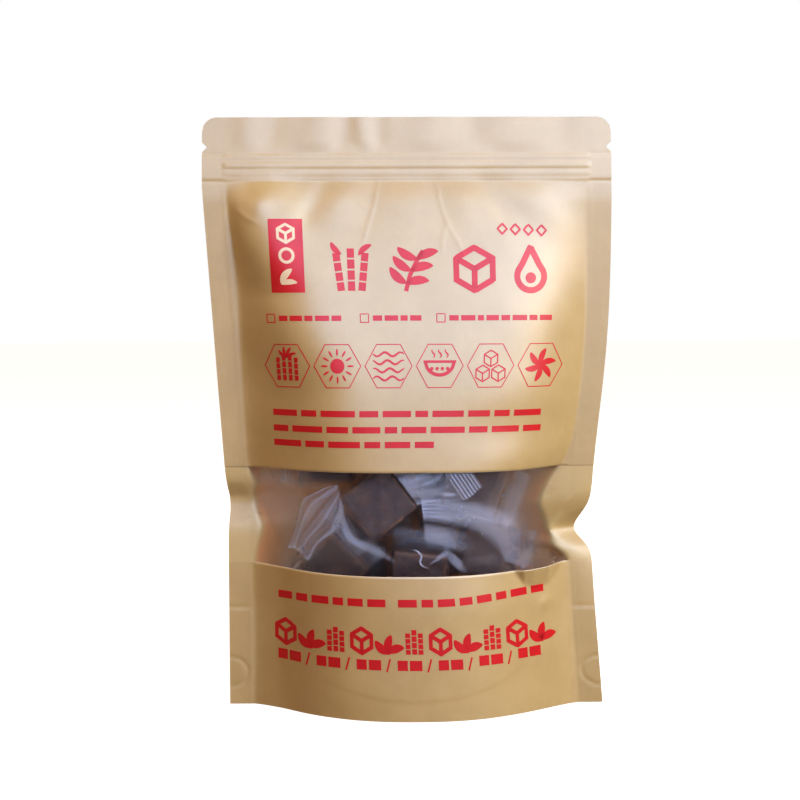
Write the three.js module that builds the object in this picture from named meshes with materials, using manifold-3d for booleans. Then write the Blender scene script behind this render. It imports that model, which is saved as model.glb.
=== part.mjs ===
// A stand-up kraft paper pouch with a press-to-close zip, a bottom gusset and a clear window strip,
// with the individually wrapped blocks of brown sugar that show behind the window.
// Millimetres, +Z up. The pouch stands on z = 0 and its printed front faces -Y.
import * as THREE from "three";
import { mergeVertices } from "three/addons/utils/BufferGeometryUtils.js";
import Module from "manifold-3d";

const wasm = await Module();
wasm.setup();

// The pouch laid flat.
const POUCH_HEIGHT = 260;
const POUCH_WIDTH = 180;
const SIDE_SEAL = 10;
const HALF_WIDTH = POUCH_WIDTH / 2;
const HALF_PANEL = HALF_WIDTH - SIDE_SEAL;
const CORNER_RADIUS = 6.5;
const NOTCH_HEIGHT = 246.8;
const NOTCH_DEPTH = 2.2;
const NOTCH_HALF_MOUTH = 1.6;

// The zip's flange shows through the paper as a flat band with one raised ridge.
const ZIP_BOTTOM = 232;
const ZIP_TOP = 243.4;
const ZIP_RIDGE = 238.8;
const ZIP_RIDGE_HALF = 1.2;
const ZIP_BAND_PROUD = 0.35;
const ZIP_RIDGE_PROUD = 0.75;

// The filled form: each panel bulges out from the seals, most at the base and not at all at the zip.
const SEAL_HALF_THICK = 0.45;
const BULGE = 33;
const BULGE_POWER = 2.5;
const PANEL_WALL = 1.5;

// The window strip runs across the front between the seals.
const WINDOW_BOTTOM = 62;
const WINDOW_TOP = 106.5;
const WINDOW_HALF = 0.93 * HALF_PANEL;
const FILM_GAP = 0.3;
const FILM_RECESS = 0.3;
const FILM_THICK = 0.6;

// The space behind the window, which reaches a little above and below it.
const CHAMBER_BOTTOM = 38;
const CHAMBER_TOP = 126;

// The bulge draws the side seals in. The left one runs slanting down to a straight foot, and the right
// one is waisted at the height of the window and splays out again below it.
const LEFT_DRAW = { most: 10.2, from: 230, to: 86 };
const RIGHT_DRAW = { least: 0.4, more: 8.3, z: 85, above: 62, below: 84 };
// Where the thin strip lets the side seals buckle: height, spread above and below it, pull inwards and
// push backwards.
const LEFT_PINCH = { z: 91, above: 8, below: 10, inward: 0.8, back: 3 };
const RIGHT_PINCH = { z: 77.5, above: 9.5, below: 6.5, inward: 7, back: 5.5 };

// The header above the zip leans back a little.
const HEADER_LEAN = { from: 222, slope: 0.16, ease: 10 };

// How flat the front's middle is, and how softly it leaves each seal: a height and an exponent each.
const LEFT_FLAT = [[60, 2.5], [112, 2.9], [135, 3], [180, 5.2], [214, 9]];
const LEFT_SOFT = [[10, 1.42], [60, 1.35], [112, 1.15], [150, 1]];
const RIGHT_FLAT = [[60, 2], [112, 2.2], [150, 2.8], [180, 4.4], [206, 8]];
const RIGHT_SOFT = [[10, 1.42], [60, 1.35], [112, 1.15], [150, 1]];

// The gusset: a U-shaped seal joins it to the panels, and its belly rests on the floor.
const SKIRT_THICK = 0.8;
const SKIRT_MIDDLE = 5;
const SKIRT_CORNER = 30;
const GUSSET_FOLD = 40;
const BELLY_HALF = 34;
const BELLY_FLAT = 0.5;

// A wrapped block of sugar: the block, and the crimped ends of its wrapper along its local X.
const BLOCK = { length: 27, width: 26, thick: 22 };
const WRAPPER_END = { neck: 4, thick: 0.9, width: 25 };
// Centre, turn in degrees about X, Y and Z, and how far each wrapper end reaches past the block.
const BLOCKS = [
  { at: [-12.5, -12.2, 91.5], turn: [84, -3, 38], ends: [5, 7] },
  { at: [-33, -3.6, 63.4], turn: [96, -8, 44], ends: [4, 3] },
  { at: [27.5, -7.5, 98.5], turn: [88, 6, -18], ends: [3, 6] },
  { at: [35.1, 2.7, 68.6], turn: [90, 9, -12], ends: [3, 3] },
  { at: [4, -9, 58.5], turn: [94, 0, 84], ends: [3, 3] },
  { at: [-36, 1.4, 111.4], turn: [90, 0, 0], ends: [3, 2] },
];

const clamp = (value, low, high) => Math.min(high, Math.max(low, value));
const mix = (a, b, t) => a + (b - a) * t;

function smooth(low, high, value) {
  const t = clamp((value - low) / (high - low), 0, 1);
  return t * t * (3 - 2 * t);
}

function bump(value, middle, spread) {
  return Math.exp(-(((value - middle) / spread) ** 2));
}

// How far the middle of a panel stands out at height z.
function crest(z) {
  return z < ZIP_BOTTOM ? BULGE * (1 - (z / ZIP_BOTTOM) ** BULGE_POWER) : 0;
}

// A bump over height that falls off differently above and below its middle.
function swell(z, { z: middle, above, below }) {
  return bump(z, middle, z > middle ? above : below);
}

// How far a side seal is drawn in at height z.
function drawnIn(side, z) {
  if (side < 0) {
    const slant = clamp((LEFT_DRAW.from - z) / (LEFT_DRAW.from - LEFT_DRAW.to), 0, 1);
    return LEFT_DRAW.most * slant + LEFT_PINCH.inward * swell(z, LEFT_PINCH);
  }
  return RIGHT_DRAW.least + RIGHT_DRAW.more * swell(z, RIGHT_DRAW) + RIGHT_PINCH.inward * swell(z, RIGHT_PINCH);
}

// The x of the left or right seal's inner line at height z.
function sealLine(side, z) {
  return side * (HALF_PANEL - drawnIn(side, z));
}

// Across the pouch, a flat position s from -HALF_WIDTH to HALF_WIDTH becomes an x.
function acrossAt(s, z) {
  const inner = clamp(s, -HALF_PANEL, HALF_PANEL);
  const share = (inner + HALF_PANEL) / (2 * HALF_PANEL);
  return mix(sealLine(-1, z), sealLine(1, z), share) + (s - inner);
}

// The seal's middle surface: flat, but pushed back where it buckles and above the zip.
function middleAt(s, z) {
  const u = s / HALF_WIDTH;
  const right = RIGHT_PINCH.back * swell(z, RIGHT_PINCH) * smooth(0.35, 1, u);
  const left = LEFT_PINCH.back * swell(z, LEFT_PINCH) * smooth(0.45, 1, -u);
  const over = Math.max(0, z - HEADER_LEAN.from);
  return right + left + (HEADER_LEAN.slope * over * over) / (over + HEADER_LEAN.ease);
}

// The zip's band and ridge, and the soft waves of the header above it.
function zipRelief(s, z) {
  const along = smooth(HALF_PANEL + 1, HALF_PANEL - 2, Math.abs(s));
  const band = smooth(ZIP_BOTTOM - 2, ZIP_BOTTOM, z) * smooth(ZIP_TOP + 1.2, ZIP_TOP, z);
  const ridge = smooth(ZIP_RIDGE_HALF + 0.8, ZIP_RIDGE_HALF, Math.abs(z - ZIP_RIDGE));
  return along * (ZIP_BAND_PROUD * band + ZIP_RIDGE_PROUD * ridge);
}

function waves(s, z) {
  const header = smooth(ZIP_TOP, ZIP_TOP + 6, z);
  const below = bump(z, ZIP_BOTTOM - 14, 12);
  const inside = smooth(HALF_PANEL, HALF_PANEL - 16, Math.abs(s));
  return inside * (0.7 * header * Math.sin(s / 4.6 + 1.2) + 0.9 * below * Math.sin(s / 6.4 + 0.4));
}

// Dents and swells of the filled front: place, half sizes and depth, outwards positive.
const FRONT_SWELLS = [
  { s: -60, z: 214, wide: 12, high: 13, out: 1.6 },
  { s: 70, z: 152, wide: 12, high: 24, out: -0.8 },
  { s: -8, z: 150, wide: 42, high: 34, out: 1.2 },
  { s: -64, z: 28, wide: 8, high: 36, out: -1.6 },
  { s: 56, z: 64, wide: 11, high: 7, out: 3.2 },
  { s: 26, z: 48, wide: 22, high: 12, out: 0.8 },
  { s: -20, z: 30, wide: 18, high: 16, out: -0.9 },
];

function swells(list, s, z) {
  const inside = smooth(HALF_PANEL, HALF_PANEL - 9, Math.abs(s));
  const sum = list.reduce((all, d) => all + d.out * bump(s, d.s, d.wide) * bump(z, d.z, d.high), 0);
  return inside * sum;
}

// A value that eases from knot to knot.
function eased(z, knots) {
  return knots.slice(1).reduce((all, [z1, v1], i) => {
    const [z0, v0] = knots[i];
    return all + (v1 - v0) * smooth(z0, z1, z);
  }, knots[0][1]);
}

// The front is a full curve at the base and flatter towards the zip.
function frontDepth(s, z) {
  const u = clamp(Math.abs(s) / HALF_PANEL, 0, 1);
  const flat = eased(z, s < 0 ? LEFT_FLAT : RIGHT_FLAT);
  const section = Math.max(0, 1 - u ** flat) ** eased(z, s < 0 ? LEFT_SOFT : RIGHT_SOFT);
  return SEAL_HALF_THICK + crest(z) * section + zipRelief(s, z) + waves(s, z) + swells(FRONT_SWELLS, s, z);
}

function backDepth(s, z) {
  const u = clamp(s / HALF_PANEL, -1, 1);
  const section = Math.max(0, 1 - u * u);
  return SEAL_HALF_THICK + crest(z) * section + zipRelief(s, z) - waves(s, z);
}

const frontPoint = (s, z, inset = 0) => [acrossAt(s, z), middleAt(s, z) - frontDepth(s, z) + inset, z];
const backPoint = (s, z, inset = 0) => [acrossAt(s, z), middleAt(s, z) + backDepth(s, z) - inset, z];

// Evenly spaced values from each stop to the next.
function levels(...stretches) {
  const made = [];
  for (const [from, to, count] of stretches) {
    for (let i = 0; i < count; i += 1) {
      made.push(mix(from, to, i / count));
    }
  }
  made.push(stretches.at(-1)[1]);
  return made;
}

// A closed skin over columns of points, each a closed loop of the same number of points.
// The first and last loops are capped by joining the points opposite each other.
function skinOf(loops) {
  const size = loops[0].length;
  const positions = loops.flat(2);
  const faces = [];
  const quad = (a, b, c, d) => faces.push(a, c, b, a, d, c);
  for (let i = 0; i + 1 < loops.length; i += 1) {
    for (let k = 0; k < size; k += 1) {
      const next = (k + 1) % size;
      quad(i * size + k, (i + 1) * size + k, (i + 1) * size + next, i * size + next);
    }
  }
  const last = (loops.length - 1) * size;
  for (let k = 0; k < size / 2 - 1; k += 1) {
    const across = size - 1 - k;
    quad(k, k + 1, across - 1, across);
    quad(last + across, last + across - 1, last + k + 1, last + k);
  }
  const geometry = new THREE.BufferGeometry();
  geometry.setAttribute("position", new THREE.Float32BufferAttribute(positions, 3));
  geometry.setIndex(faces);
  return geometry;
}

// A three.js geometry as a solid, without the faces that collapsed where its points coincide.
function solidOf(geometry) {
  const bare = geometry.index ? geometry.clone() : mergeVertices(geometry);
  bare.deleteAttribute("normal");
  bare.deleteAttribute("uv");
  const merged = mergeVertices(bare, 1e-4);
  const index = merged.index.array;
  const triVerts = [];
  for (let i = 0; i < index.length; i += 3) {
    const [a, b, c] = [index[i], index[i + 1], index[i + 2]];
    if (a !== b && b !== c && a !== c) triVerts.push(a, b, c);
  }
  const mesh = new wasm.Mesh({
    numProp: 3,
    vertProperties: merged.attributes.position.array,
    triVerts: new Uint32Array(triVerts),
  });
  return new wasm.Manifold(mesh);
}

function geometryOf(solid) {
  const { vertProperties, triVerts, numProp } = solid.getMesh();
  const positions = [];
  for (let i = 0; i < vertProperties.length; i += numProp) {
    positions.push(vertProperties[i], vertProperties[i + 1], vertProperties[i + 2]);
  }
  const geometry = new THREE.BufferGeometry();
  geometry.setAttribute("position", new THREE.Float32BufferAttribute(positions, 3));
  geometry.setIndex(Array.from(triVerts));
  geometry.computeVertexNormals();
  return geometry;
}

// Under the pouch: how high the gusset's seal stands, and how high the gusset lies between the skirts.
function sealHeight(s) {
  return mix(SKIRT_MIDDLE, SKIRT_CORNER, clamp(Math.abs(s) / HALF_PANEL, 0, 1) ** 4);
}

function gussetHeight(s, t) {
  const fold = GUSSET_FOLD * smooth(BELLY_HALF, HALF_PANEL + 6, Math.abs(s));
  return mix(fold, sealHeight(s), smooth(BELLY_FLAT, 1, Math.abs(t)));
}

// The loop at flat position s: down the front, under the skirts and the gusset, and up the back.
function pouchLoop(s, rows) {
  const front = rows.map((z) => frontPoint(s, z));
  const back = rows.map((z) => backPoint(s, z));
  const high = sealHeight(s);
  const spans = [-1, -0.84, -BELLY_FLAT, 0, BELLY_FLAT, 0.84, 1];
  const open = Math.abs(s) < HALF_PANEL;
  const [frontFoot, backFoot] = [frontPoint(s, 0), backPoint(s, 0)];
  let under = spans.map(() => frontFoot);
  let rims = [frontFoot, frontFoot];
  if (open) {
    const frontInner = frontPoint(s, 0, SKIRT_THICK);
    const backInner = backPoint(s, 0, SKIRT_THICK);
    const from = frontPoint(s, high, SKIRT_THICK)[1];
    const to = backPoint(s, high, SKIRT_THICK)[1];
    under = spans.map((t) => {
      const z = gussetHeight(s, t);
      return [acrossAt(s, z), mix(from, to, (t + 1) / 2), z];
    });
    rims = [frontInner, backInner];
  }
  return [...front, rims[0], ...under, rims[1], ...back.reverse()];
}

function panelColumns(count) {
  const inner = levels([-HALF_PANEL, HALF_PANEL, count]);
  return [-HALF_WIDTH, ...inner, HALF_WIDTH];
}

function pouchBody() {
  const rows = levels(
    [0, WINDOW_BOTTOM, 8],
    [WINDOW_BOTTOM, WINDOW_TOP, 6],
    [WINDOW_TOP, 195, 10],
    [195, ZIP_BOTTOM - 2, 5],
    [ZIP_BOTTOM - 2, ZIP_BOTTOM, 1],
    [ZIP_BOTTOM, ZIP_RIDGE - ZIP_RIDGE_HALF - 0.8, 1],
    [ZIP_RIDGE - ZIP_RIDGE_HALF - 0.8, ZIP_RIDGE - ZIP_RIDGE_HALF, 1],
    [ZIP_RIDGE - ZIP_RIDGE_HALF, ZIP_RIDGE + ZIP_RIDGE_HALF, 1],
    [ZIP_RIDGE + ZIP_RIDGE_HALF, ZIP_RIDGE + ZIP_RIDGE_HALF + 0.8, 1],
    [ZIP_RIDGE + ZIP_RIDGE_HALF + 0.8, ZIP_TOP, 1],
    [ZIP_TOP, ZIP_TOP + 1.2, 1],
    [ZIP_TOP + 1.2, POUCH_HEIGHT, 3],
  ).reverse();
  return solidOf(skinOf(panelColumns(30).map((s) => pouchLoop(s, rows))));
}

// A slab between two surfaces that follow the panels, over part of the width and height.
function slab(halfAcross, columns, rows, outer, inner) {
  const loops = levels([-halfAcross, halfAcross, columns]).map((s) => {
    const near = rows.map((z) => outer(s, z));
    const far = rows.map((z) => inner(s, z));
    return [...near.reverse(), ...far];
  });
  return solidOf(skinOf(loops));
}

// The space behind the window, with its opening through the front.
function windowSpace() {
  const chamber = slab(
    WINDOW_HALF,
    28,
    levels([CHAMBER_BOTTOM, WINDOW_BOTTOM, 2], [WINDOW_BOTTOM, WINDOW_TOP, 8], [WINDOW_TOP, CHAMBER_TOP, 2]),
    (s, z) => frontPoint(s, z, PANEL_WALL),
    (s, z) => backPoint(s, z, PANEL_WALL),
  );
  const opening = slab(
    WINDOW_HALF,
    28,
    levels([WINDOW_BOTTOM, WINDOW_TOP, 8]),
    (s, z) => frontPoint(s, z, -4),
    (s, z) => frontPoint(s, z, PANEL_WALL + 1.2),
  );
  return chamber.add(opening);
}

function cornerAndNotch(side) {
  const outline = new THREE.Shape();
  const reach = HALF_WIDTH + 4;
  outline.moveTo(HALF_WIDTH, POUCH_HEIGHT - CORNER_RADIUS);
  outline.absarc(HALF_WIDTH - CORNER_RADIUS, POUCH_HEIGHT - CORNER_RADIUS, CORNER_RADIUS, 0, Math.PI / 2, false);
  outline.lineTo(HALF_WIDTH - CORNER_RADIUS, POUCH_HEIGHT + 4);
  outline.lineTo(reach, POUCH_HEIGHT + 4);
  outline.lineTo(reach, POUCH_HEIGHT - CORNER_RADIUS);
  const notch = new THREE.Shape();
  notch.moveTo(HALF_WIDTH - NOTCH_DEPTH, NOTCH_HEIGHT);
  notch.lineTo(reach, NOTCH_HEIGHT - NOTCH_HALF_MOUTH * 1.6);
  notch.lineTo(reach, NOTCH_HEIGHT + NOTCH_HALF_MOUTH * 2.4);
  const cutters = [outline, notch].map((shape) => {
    const geometry = new THREE.ExtrudeGeometry(shape, { depth: 20, bevelEnabled: false, curveSegments: 8 });
    geometry.translate(0, 0, -10);
    geometry.rotateX(Math.PI / 2);
    if (side < 0) geometry.rotateZ(Math.PI);
    return solidOf(geometry);
  });
  return cutters[0].add(cutters[1]);
}

function pouchGeometry() {
  let pouch = pouchBody().subtract(windowSpace());
  for (const side of [-1, 1]) {
    pouch = pouch.subtract(cornerAndNotch(side));
  }
  return geometryOf(pouch);
}

function filmGeometry() {
  const film = slab(
    WINDOW_HALF - 2 * FILM_GAP,
    28,
    levels([WINDOW_BOTTOM + FILM_GAP, WINDOW_TOP - FILM_GAP, 8]),
    (s, z) => frontPoint(s, z, FILM_RECESS),
    (s, z) => frontPoint(s, z, FILM_RECESS + FILM_THICK),
  );
  return geometryOf(film);
}

// One section across a wrapped block: a rounded box in the middle, pressed flat at the ends.
function wrapperSection(x, width, thick, roundness) {
  const steps = 12;
  const section = [];
  for (let i = 0; i < steps; i += 1) {
    const angle = (2 * Math.PI * (i + 0.5)) / steps;
    const [c, s] = [Math.cos(angle), Math.sin(angle)];
    const y = Math.sign(c) * Math.abs(c) ** roundness * (width / 2);
    const z = Math.sign(s) * Math.abs(s) ** roundness * (thick / 2);
    section.push([x, y, z]);
  }
  return section;
}

function wrappedBlockGeometry([leftEnd, rightEnd]) {
  const half = BLOCK.length / 2;
  const end = WRAPPER_END;
  const neck = (reach) => Math.min(end.neck, reach - 1);
  const loops = [
    wrapperSection(-half - leftEnd, end.width, end.thick, 0.6),
    wrapperSection(-half - neck(leftEnd), end.width, end.thick, 0.6),
    wrapperSection(-half, BLOCK.width - 2.5, BLOCK.thick - 2.5, 0.35),
    wrapperSection(-half + 1.5, BLOCK.width, BLOCK.thick, 0.25),
    wrapperSection(half - 1.5, BLOCK.width, BLOCK.thick, 0.25),
    wrapperSection(half, BLOCK.width - 2.5, BLOCK.thick - 2.5, 0.35),
    wrapperSection(half + neck(rightEnd), end.width, end.thick, 0.6),
    wrapperSection(half + rightEnd, end.width, end.thick, 0.6),
  ];
  return geometryOf(solidOf(skinOf(loops)));
}

const MATERIALS = {
  kraft: new THREE.MeshStandardMaterial({ color: 0xcba878, roughness: 0.62, metalness: 0 }),
  film: new THREE.MeshStandardMaterial({
    color: 0xd9dbe3,
    roughness: 0.25,
    metalness: 0,
    transparent: true,
    opacity: 0.35,
  }),
  sugar: new THREE.MeshStandardMaterial({ color: 0x3a2521, roughness: 0.45, metalness: 0 }),
};

function named(name, geometry, material) {
  const mesh = new THREE.Mesh(geometry, material);
  mesh.name = name;
  return mesh;
}

const part = new THREE.Group();
part.add(named("pouch", pouchGeometry(), MATERIALS.kraft));
part.add(named("window_film", filmGeometry(), MATERIALS.film));
BLOCKS.forEach(({ at, turn, ends }, i) => {
  const block = named(`sugar_block_${i + 1}`, wrappedBlockGeometry(ends), MATERIALS.sugar);
  block.position.set(...at);
  block.rotation.set(...turn.map(THREE.MathUtils.degToRad));
  part.add(block);
});

export default part;
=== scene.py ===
import math

import bpy
import numpy as np
from mathutils import Matrix, Vector, noise


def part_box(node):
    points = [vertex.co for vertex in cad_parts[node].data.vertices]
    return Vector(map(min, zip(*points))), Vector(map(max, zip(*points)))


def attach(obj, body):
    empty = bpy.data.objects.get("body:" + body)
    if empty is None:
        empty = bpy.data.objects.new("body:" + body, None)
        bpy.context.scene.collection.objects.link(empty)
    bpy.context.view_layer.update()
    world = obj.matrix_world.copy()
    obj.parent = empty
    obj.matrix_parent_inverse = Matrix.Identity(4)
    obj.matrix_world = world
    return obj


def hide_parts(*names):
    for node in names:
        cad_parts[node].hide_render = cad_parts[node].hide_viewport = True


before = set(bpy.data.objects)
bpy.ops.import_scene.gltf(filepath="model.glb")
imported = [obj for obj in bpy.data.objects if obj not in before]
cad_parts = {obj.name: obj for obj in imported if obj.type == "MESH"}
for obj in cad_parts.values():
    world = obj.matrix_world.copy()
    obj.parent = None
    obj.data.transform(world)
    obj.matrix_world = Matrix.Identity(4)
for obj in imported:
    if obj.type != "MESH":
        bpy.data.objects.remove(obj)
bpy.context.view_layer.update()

# Lengths below are millimetres, in the pouch's own frame: +Z up, the printed front faces -Y.
# A place on a panel is (s, z): s runs across the flat pouch, from -HALF_WIDTH to HALF_WIDTH.
MM = 0.001
POUCH_LOW, POUCH_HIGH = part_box("pouch")
POUCH_HEIGHT = POUCH_HIGH.z / MM
HALF_WIDTH = -POUCH_LOW.x / MM
SIDE_SEAL = 10.0
HALF_PANEL = HALF_WIDTH - SIDE_SEAL
CORNER_RADIUS = 6.5
NOTCH = {"z": 246.8, "deep": 2.2, "half_mouth": 2.2}

ZIP_BOTTOM = 232.0
ZIP_TOP = 243.4
# The zip's profiles that show through the paper: height, half width, softness and how proud.
ZIP_RIDGES = [
    {"z": 238.8, "half": 0.9, "soft": 1.3, "out": 0.3},
    {"z": 235.4, "half": 0.7, "soft": 1.3, "out": 0.14},
    {"z": 242.3, "half": 0.4, "soft": 1.2, "out": 0.08},
]
ZIP_BAND_PROUD = 0.2

PAPER_THICK = 0.24
FILM_THICK = 0.08
FILM_UNDER = PAPER_THICK + 0.01
SEAL_HALF = 0.3
BULGE = 33.0
BULGE_POWER = 2.5
WINDOW_BOTTOM = 62.0
WINDOW_TOP = 106.5
WINDOW_LAP = 3.0
WINDOW_END_RISE = 2.0

PANEL_STEP = 0.86
BACK_STEP = 1.25

# How the bulge draws the side seals in, and where the window strip lets them buckle.
LEFT_DRAW = {"most": 10.2, "from": 230.0, "to": 86.0}
RIGHT_DRAW = {"least": 0.4, "more": 8.3, "z": 85.0, "above": 62.0, "below": 84.0}
LEFT_PINCH = {"z": 91.0, "above": 7.2, "below": 9.0, "inward": 0.8, "back": 4.4}
RIGHT_PINCH = {"z": 77.5, "above": 9.5, "below": 6.5, "inward": 7.0, "back": 3.2}
# The right pinch ends in a sharp crease across the seal.
RIGHT_FOLD = {"z": 78.0, "from": 79.0, "back": 4.2, "above": 8.5, "below": 9.0}
# How much nearer the middle the panels part at some heights, most of all in the window strip, where the
# film lies on the back panel for some way in from the seals.
LEFT_REACH = [
    {"z": 79.5, "above": 5.5, "below": 9.0, "less": 4.6},
    {"z": 98.0, "above": 3.5, "below": 2.2, "less": 2.4},
    {"z": 195.0, "above": 22.0, "below": 45.0, "less": 2.2},
    {"z": 32.0, "above": 22.0, "below": 40.0, "less": 1.6},
]
RIGHT_REACH = [
    {"z": 91.0, "above": 17.0, "below": 9.5, "less": 13.0},
    {"z": 70.3, "above": 3.4, "below": 3.2, "less": 4.5},
]
# The header above the zip leans back a little.
HEADER_LEAN = {"from": 222.0, "slope": 0.16, "ease": 10.0}

SEAL_MIDDLE = 8.5
SEAL_CORNER = 30.0
GUSSET_FOLD = 40.0
GUSSET_TOP = 43.6
BELLY_HALF = 34.0
BELLY_FLAT = 0.5
CRINKLE_HIGH = 0.35
CRINKLE_SIZE = 3.1

# How flat the front's middle is, and how softly it leaves each seal, as (height, exponent).
LEFT_FLAT = [(60, 2.5), (112, 3.0), (135, 3.2), (180, 6.2), (214, 13.0)]
LEFT_SOFT = [(10, 1.42), (60, 1.45), (112, 1.5), (150, 1.6), (180, 1.6), (206, 1.1)]
RIGHT_FLAT = [(60, 2.4), (112, 3.6), (150, 4.0), (180, 4.6), (206, 4.2)]
RIGHT_SOFT = [(10, 1.42), (60, 1.35), (112, 1.15), (150, 1.05), (206, 1.3)]

# Soft dents and swells of the panels: place, half sizes, how far out, and turn in degrees.
FRONT_SWELLS = [
    (-61, 212, 12, 16, 2.3, 0),
    (-66, 223, 6, 7, 1.0, 0),
    (-81, 212, 3.5, 15, -0.9, 0),
    (-46, 172, 18, 30, 1.6, 0),
    (-34, 132, 20, 22, 1.6, 0),
    (50, 124, 26, 10, -1.3, 0),
    (-52, 219, 4, 15, 0.4, 32),
    (40, 219, 4, 13, -0.4, 35),
    (70, 152, 12, 24, -0.8, 0),
    (-8, 150, 42, 34, 1.2, 0),
    (-64, 28, 8, 36, -1.6, 0),
    (66, 47, 4, 3, 0.8, 30),
    (26, 48, 22, 12, 0.8, 0),
    (-20, 30, 18, 16, -0.9, 0),
    (54, 92, 3, 16, 0.9, 8),
]
BACK_SWELLS = [(-30, 170, 26, 40, 0.9, 0), (48, 120, 14, 34, -0.8, 12)]

# Soft upright waves: place across, half width, lean and how far out. Above the zip, then below it.
HEADER_WAVES = [
    (-72, 7, 0.1, 0.3), (-60, 6, 0.2, -0.3), (-40, 8, 0.3, 0.4), (-28, 5, 0.1, -0.35), (-19, 4, -0.2, 0.26),
    (-12, 4, 0.0, -0.26), (9, 9, 0.3, 0.3), (30, 7, -0.2, -0.3), (48, 12, 0.2, 0.3), (68, 6, 0.1, -0.2),
]
WAVE_DEPTH = 1.4
HEADER_MIDDLE = 251.0
FAN_WAVES = [
    (-56, 8, 0.9, 0.5), (-36, 5, 0.5, -0.4), (-27, 6, 0.3, 0.35), (-14, 5, 0.2, -0.25), (0, 7, 0.0, 0.2),
    (12, 5, -0.2, -0.2), (22, 6, -0.3, 0.25), (37, 6, -0.7, -0.4), (52, 8, -0.6, 0.35),
]

# The fold under the lip of paper at the window's lower right end, and how far the lip turns out.
LIP_FOLD = {"s": [47, 55, 60, 68, 79], "z": [67, 56, 54.2, 55.2, 67], "slope": 0.6}

# Sharp creases in the front: the line's points, half width, and how far out along it.
FRONT_CREASES = [
    ([(13.2, 230), (14.4, 221), (17.5, 212), (21.5, 205), (24.1, 199)], 0.5, 0.3),
    ([(17.0, 213), (15.0, 207), (14.5, 200)], 0.5, 0.18),
    ([(-12.3, 232), (-14.9, 220.5), (-18, 211.5), (-20.4, 204)], 0.5, 0.24),
    ([(-21, 221.5), (-15.5, 218.5)], 0.8, 0.3),
    ([(-75, 219), (-71, 215.5), (-66, 213)], 0.9, 0.4),
    ([(62, 96), (67, 93), (71, 92)], 0.7, 0.3),
    ([(-80.4, 107), (-80.5, 102), (-77.6, 98)], 0.6, 0.4),
    ([(-80.5, 90), (-76.6, 84.4), (-75.6, 82.4)], 0.7, 0.45),
    ([(-75.8, 82.4), (-79.6, 78.8)], 0.7, 0.4),
    ([(60, 78), (70, 84), (84, 90)], 1.6, -0.7),
]


def smooth(low, high, value):
    t = np.clip((value - low) / (high - low), 0, 1)
    return t * t * (3 - 2 * t)


def bump(value, middle, spread):
    return np.exp(-(((value - middle) / spread) ** 2))


def mix(a, b, t):
    return a + (b - a) * t


def inside(s, outer, inner):
    """Eases from 0 to 1 between two lines, each so many millimetres past the seals' inner edges."""
    return smooth(HALF_PANEL + outer, HALF_PANEL + inner, np.abs(s))


def unit(vectors):
    return vectors / np.maximum(np.linalg.norm(vectors, axis=-1, keepdims=True), 1e-9)


def grid(a, b):
    return np.meshgrid(a, b, indexing="ij")


def quads(k):
    """The four corners of each cell in a grid of point numbers."""
    return np.stack([k[:-1, :-1], k[1:, :-1], k[1:, 1:], k[:-1, 1:]], -1).reshape(-1, 4)


def swell(z, shape):
    """A bump over height that falls off differently above and below its middle."""
    return bump(z, shape["z"], np.where(z > shape["z"], shape["above"], shape["below"]))


def crest(z):
    """How far the middle of a panel stands out at height z."""
    return BULGE * (1 - np.clip(z / ZIP_BOTTOM, 0, 1) ** BULGE_POWER)


def drawn_in(z):
    """How far the left and the right seal are drawn in at height z."""
    slant = np.clip((LEFT_DRAW["from"] - z) / (LEFT_DRAW["from"] - LEFT_DRAW["to"]), 0, 1)
    left = LEFT_DRAW["most"] * slant + LEFT_PINCH["inward"] * swell(z, LEFT_PINCH)
    waist = RIGHT_DRAW["least"] + RIGHT_DRAW["more"] * swell(z, RIGHT_DRAW)
    return left, waist + RIGHT_PINCH["inward"] * swell(z, RIGHT_PINCH)


def across(s, z):
    """The x of flat position s at height z."""
    left, right = drawn_in(z)
    inner = np.clip(s, -HALF_PANEL, HALF_PANEL)
    share = (inner + HALF_PANEL) / (2 * HALF_PANEL)
    return mix(left - HALF_PANEL, HALF_PANEL - right, share) + (s - inner)


def middle(s, z):
    """The y of the seals' middle surface, pushed back where the seals buckle."""
    u = s / HALF_WIDTH
    right = RIGHT_PINCH["back"] * swell(z, RIGHT_PINCH) * smooth(0.35, 1, u)
    past = np.clip((s - RIGHT_FOLD["from"]) / SIDE_SEAL, 0, 1.2)
    fall = np.where(z > RIGHT_FOLD["z"], 2 + RIGHT_FOLD["above"] * past, 2 + RIGHT_FOLD["below"] * past)
    right = right + RIGHT_FOLD["back"] * past * np.exp(-np.abs(z - RIGHT_FOLD["z"]) / fall)
    left = LEFT_PINCH["back"] * swell(z, LEFT_PINCH) * smooth(0.45, 1, -u)
    over = np.maximum(0, z - HEADER_LEAN["from"])
    return right + left + HEADER_LEAN["slope"] * over**2 / (over + HEADER_LEAN["ease"])


def reach(s, z):
    """How far from the middle the two panels part at height z."""
    left, right = (sum(d["less"] * swell(z, d) for d in dents) for dents in (LEFT_REACH, RIGHT_REACH))
    return HALF_PANEL - np.where(s > 0, right, left)


def polyline_distance(s, z, points):
    """Distance from (s, z) to a polyline, and how far along it from 0 to 1 the nearest point lies."""
    nearest = np.full(np.shape(s), 1e9)
    along = np.zeros(np.shape(s))
    count = len(points) - 1
    for i, (a, b) in enumerate(zip(points, points[1:])):
        ds, dz = b[0] - a[0], b[1] - a[1]
        t = np.clip(((s - a[0]) * ds + (z - a[1]) * dz) / (ds * ds + dz * dz), 0, 1)
        distance = np.hypot(s - a[0] - t * ds, z - a[1] - t * dz)
        closer = distance < nearest
        along = np.where(closer, (i + t) / count, along)
        nearest = np.minimum(nearest, distance)
    return nearest, along


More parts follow.
